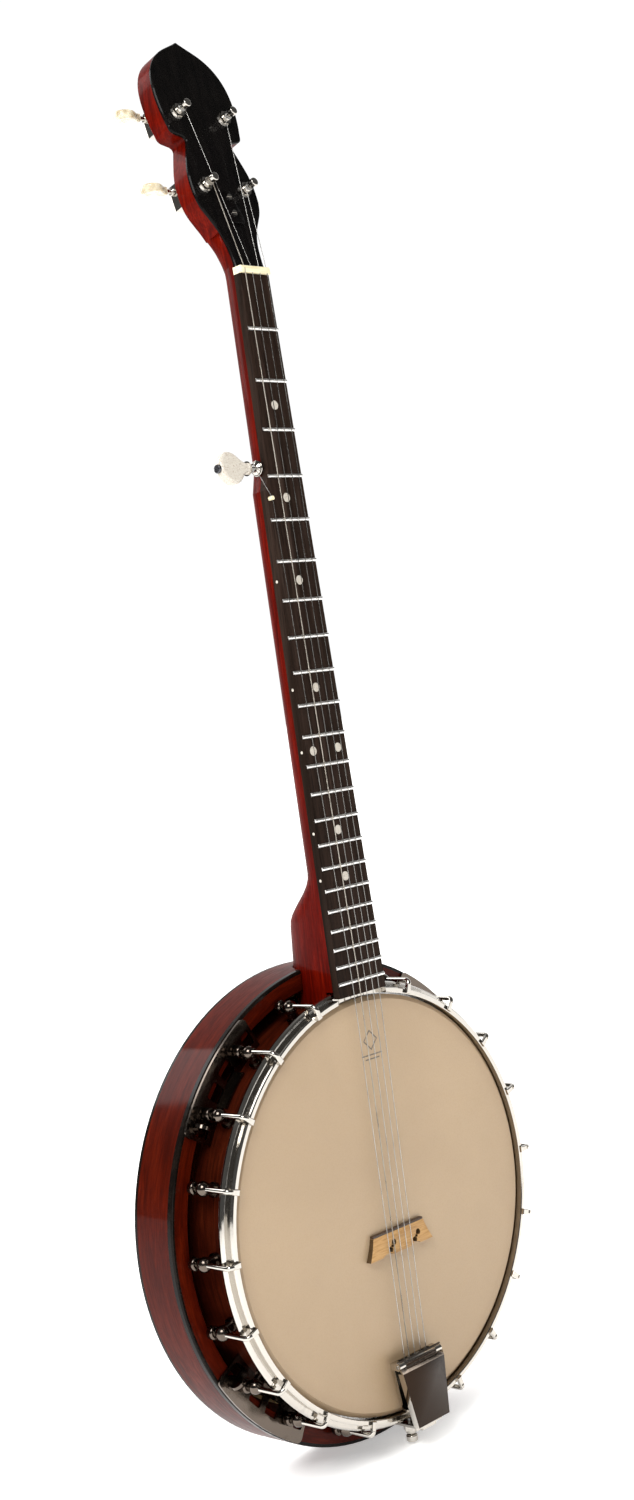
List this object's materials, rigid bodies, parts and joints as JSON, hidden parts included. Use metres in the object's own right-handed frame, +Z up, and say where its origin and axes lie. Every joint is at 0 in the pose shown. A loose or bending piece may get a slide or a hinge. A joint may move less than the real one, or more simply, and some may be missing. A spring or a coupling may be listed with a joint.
{
  "type": "banjo",
  "caption": "Resonator banjo with a geared peghead, a short fifth-string peg on the neck, a hooked and tensioned drum head, flange plates and a wooden bowl behind",
  "frame": {"origin": "point on the back of the neck just under the peghead flare, where a hanger's fork holds the banjo", "axes": "+Z runs up the neck, -Y is the front that the strings are on, +X is to the right seen from the front"},
  "size_m": [0.327, 0.0941, 0.9677],
  "materials": {
    "rim_wood": "dark red stained maple, satin lacquer",
    "tone_brass": "bright turned bell brass",
    "skin": "translucent cream film over the drum, slightly rough",
    "steel": "plain zinc-plated steel",
    "chrome": "polished chrome plate",
    "resonator_wood": "deep red-brown mahogany under high gloss lacquer",
    "black_binding": "black celluloid, polished",
    "neck_wood": "red mahogany under gloss lacquer",
    "rosewood": "dark brown fingerboard, oiled satin",
    "nickel_silver": "polished nickel silver",
    "bone": "cream bone, polished",
    "pearl": "mother of pearl",
    "peg_black": "black veneer under gloss lacquer",
    "pearloid": "cream pearloid buttons",
    "black_steel": "blackened steel",
    "string_steel": "plain music wire",
    "string_wound": "bronze winding on a steel core",
    "maple": "pale maple, waxed",
    "ebony": "ebony, oiled",
    "black_chrome": "dark polished plate"
  },
  "bodies": {
    "frame": {"wood_rim": "rim_wood", "tone_hoop": "tone_brass", "drum_head": "skin", "flesh_hoop": "steel", "tension_hoop": "chrome", "bracket_hooks": "chrome", "hook_nuts": "chrome", "bracket_shoes": "chrome", "shoe_bolts": "steel", "coordinator_rod": "steel", "rod_nuts": "steel", "neck_bolts": "steel", "flange_plate_upper_left": "chrome", "flange_plate_upper_right": "chrome", "flange_plate_lower_left": "chrome", "flange_plate_lower_right": "chrome", "flange_thumbscrews": "chrome", "resonator_lugs": "neck_wood", "resonator_back": "resonator_wood", "resonator_side": "resonator_wood", "resonator_lip": "resonator_wood", "resonator_bindings": "black_binding", "neck_shaft": "neck_wood", "fretboard": "rosewood", "frets": "nickel_silver", "nut": "bone", "position_dots": "pearl", "fifth_string_nut": "bone", "peghead_overlay": "peg_black", "truss_rod": "steel", "truss_rod_cover": "peg_black", "wood_screws": "chrome", "tuner_housings": "chrome", "tuner_bushings": "chrome", "fifth_peg_sleeve": "chrome", "plain_strings": "string_steel", "wound_string": "string_wound", "bridge": "maple", "bridge_cap": "ebony", "tailpiece_base": "chrome", "tailpiece_pin": "steel", "tailpiece_bracket": "steel", "tailpiece_bolt": "steel", "tailpiece_nuts": "chrome"},
    "post_1": {"tuner_1_post": "chrome"},
    "button_1": {"tuner_1_shaft": "chrome", "tuner_1_button": "pearloid"},
    "post_2": {"tuner_2_post": "chrome"},
    "button_2": {"tuner_2_shaft": "chrome", "tuner_2_button": "pearloid"},
    "post_3": {"tuner_3_post": "chrome"},
    "button_3": {"tuner_3_shaft": "chrome", "tuner_3_button": "pearloid"},
    "post_4": {"tuner_4_post": "chrome"},
    "button_4": {"tuner_4_shaft": "chrome", "tuner_4_button": "pearloid"},
    "fifth_peg": {"fifth_peg_shaft": "chrome", "fifth_peg_button": "pearloid", "fifth_peg_screw": "black_steel"},
    "tailpiece_cover": {"tailpiece_lid": "black_chrome"}
  },
  "joints": [
    {"name": "button_1_turn", "type": "hinge", "parent": "frame", "child": "button_1", "pos_m": [-0.0185, 0.03141, 0.04804], "axis": [-1, 0, 0], "continuous": true},
    {"name": "post_1_turn", "type": "hinge", "parent": "frame", "child": "post_1", "pos_m": [-0.0185, 0.00844, 0.04702], "axis": [0, -0.9686, 0.2487], "continuous": true},
    {"name": "button_2_turn", "type": "hinge", "parent": "frame", "child": "button_2", "pos_m": [0.0185, 0.03141, 0.04804], "axis": [1, 0, 0], "continuous": true},
    {"name": "post_2_turn", "type": "hinge", "parent": "frame", "child": "post_2", "pos_m": [0.0185, 0.00844, 0.04702], "axis": [0, -0.9686, 0.2487], "continuous": true},
    {"name": "button_3_turn", "type": "hinge", "parent": "frame", "child": "button_3", "pos_m": [-0.0215, 0.04509, 0.10131], "axis": [-1, 0, 0], "continuous": true},
    {"name": "post_3_turn", "type": "hinge", "parent": "frame", "child": "post_3", "pos_m": [-0.0215, 0.02212, 0.10029], "axis": [0, -0.9686, 0.2487], "continuous": true},
    {"name": "button_4_turn", "type": "hinge", "parent": "frame", "child": "button_4", "pos_m": [0.0215, 0.04509, 0.10131], "axis": [1, 0, 0], "continuous": true},
    {"name": "post_4_turn", "type": "hinge", "parent": "frame", "child": "post_4", "pos_m": [0.0215, 0.02212, 0.10029], "axis": [0, -0.9686, 0.2487], "continuous": true},
    {"name": "fifth_peg_turn", "type": "hinge", "parent": "frame", "child": "fifth_peg", "pos_m": [-0.0252, -0.00583, -0.1472], "axis": [-1, 0, 0], "continuous": true},
    {"name": "tailpiece_cover_hinge", "type": "hinge", "parent": "frame", "child": "tailpiece_cover", "pos_m": [-0.0052, -0.0318, -0.753], "axis": [-1, 0, 0], "range_deg": [0, 30]}
  ],
  "couplings": [
    {"joint": "button_1_turn", "follows": "post_1_turn", "ratio": 14},
    {"joint": "button_2_turn", "follows": "post_2_turn", "ratio": 14},
    {"joint": "button_3_turn", "follows": "post_3_turn", "ratio": 14},
    {"joint": "button_4_turn", "follows": "post_4_turn", "ratio": 14}
  ]
}
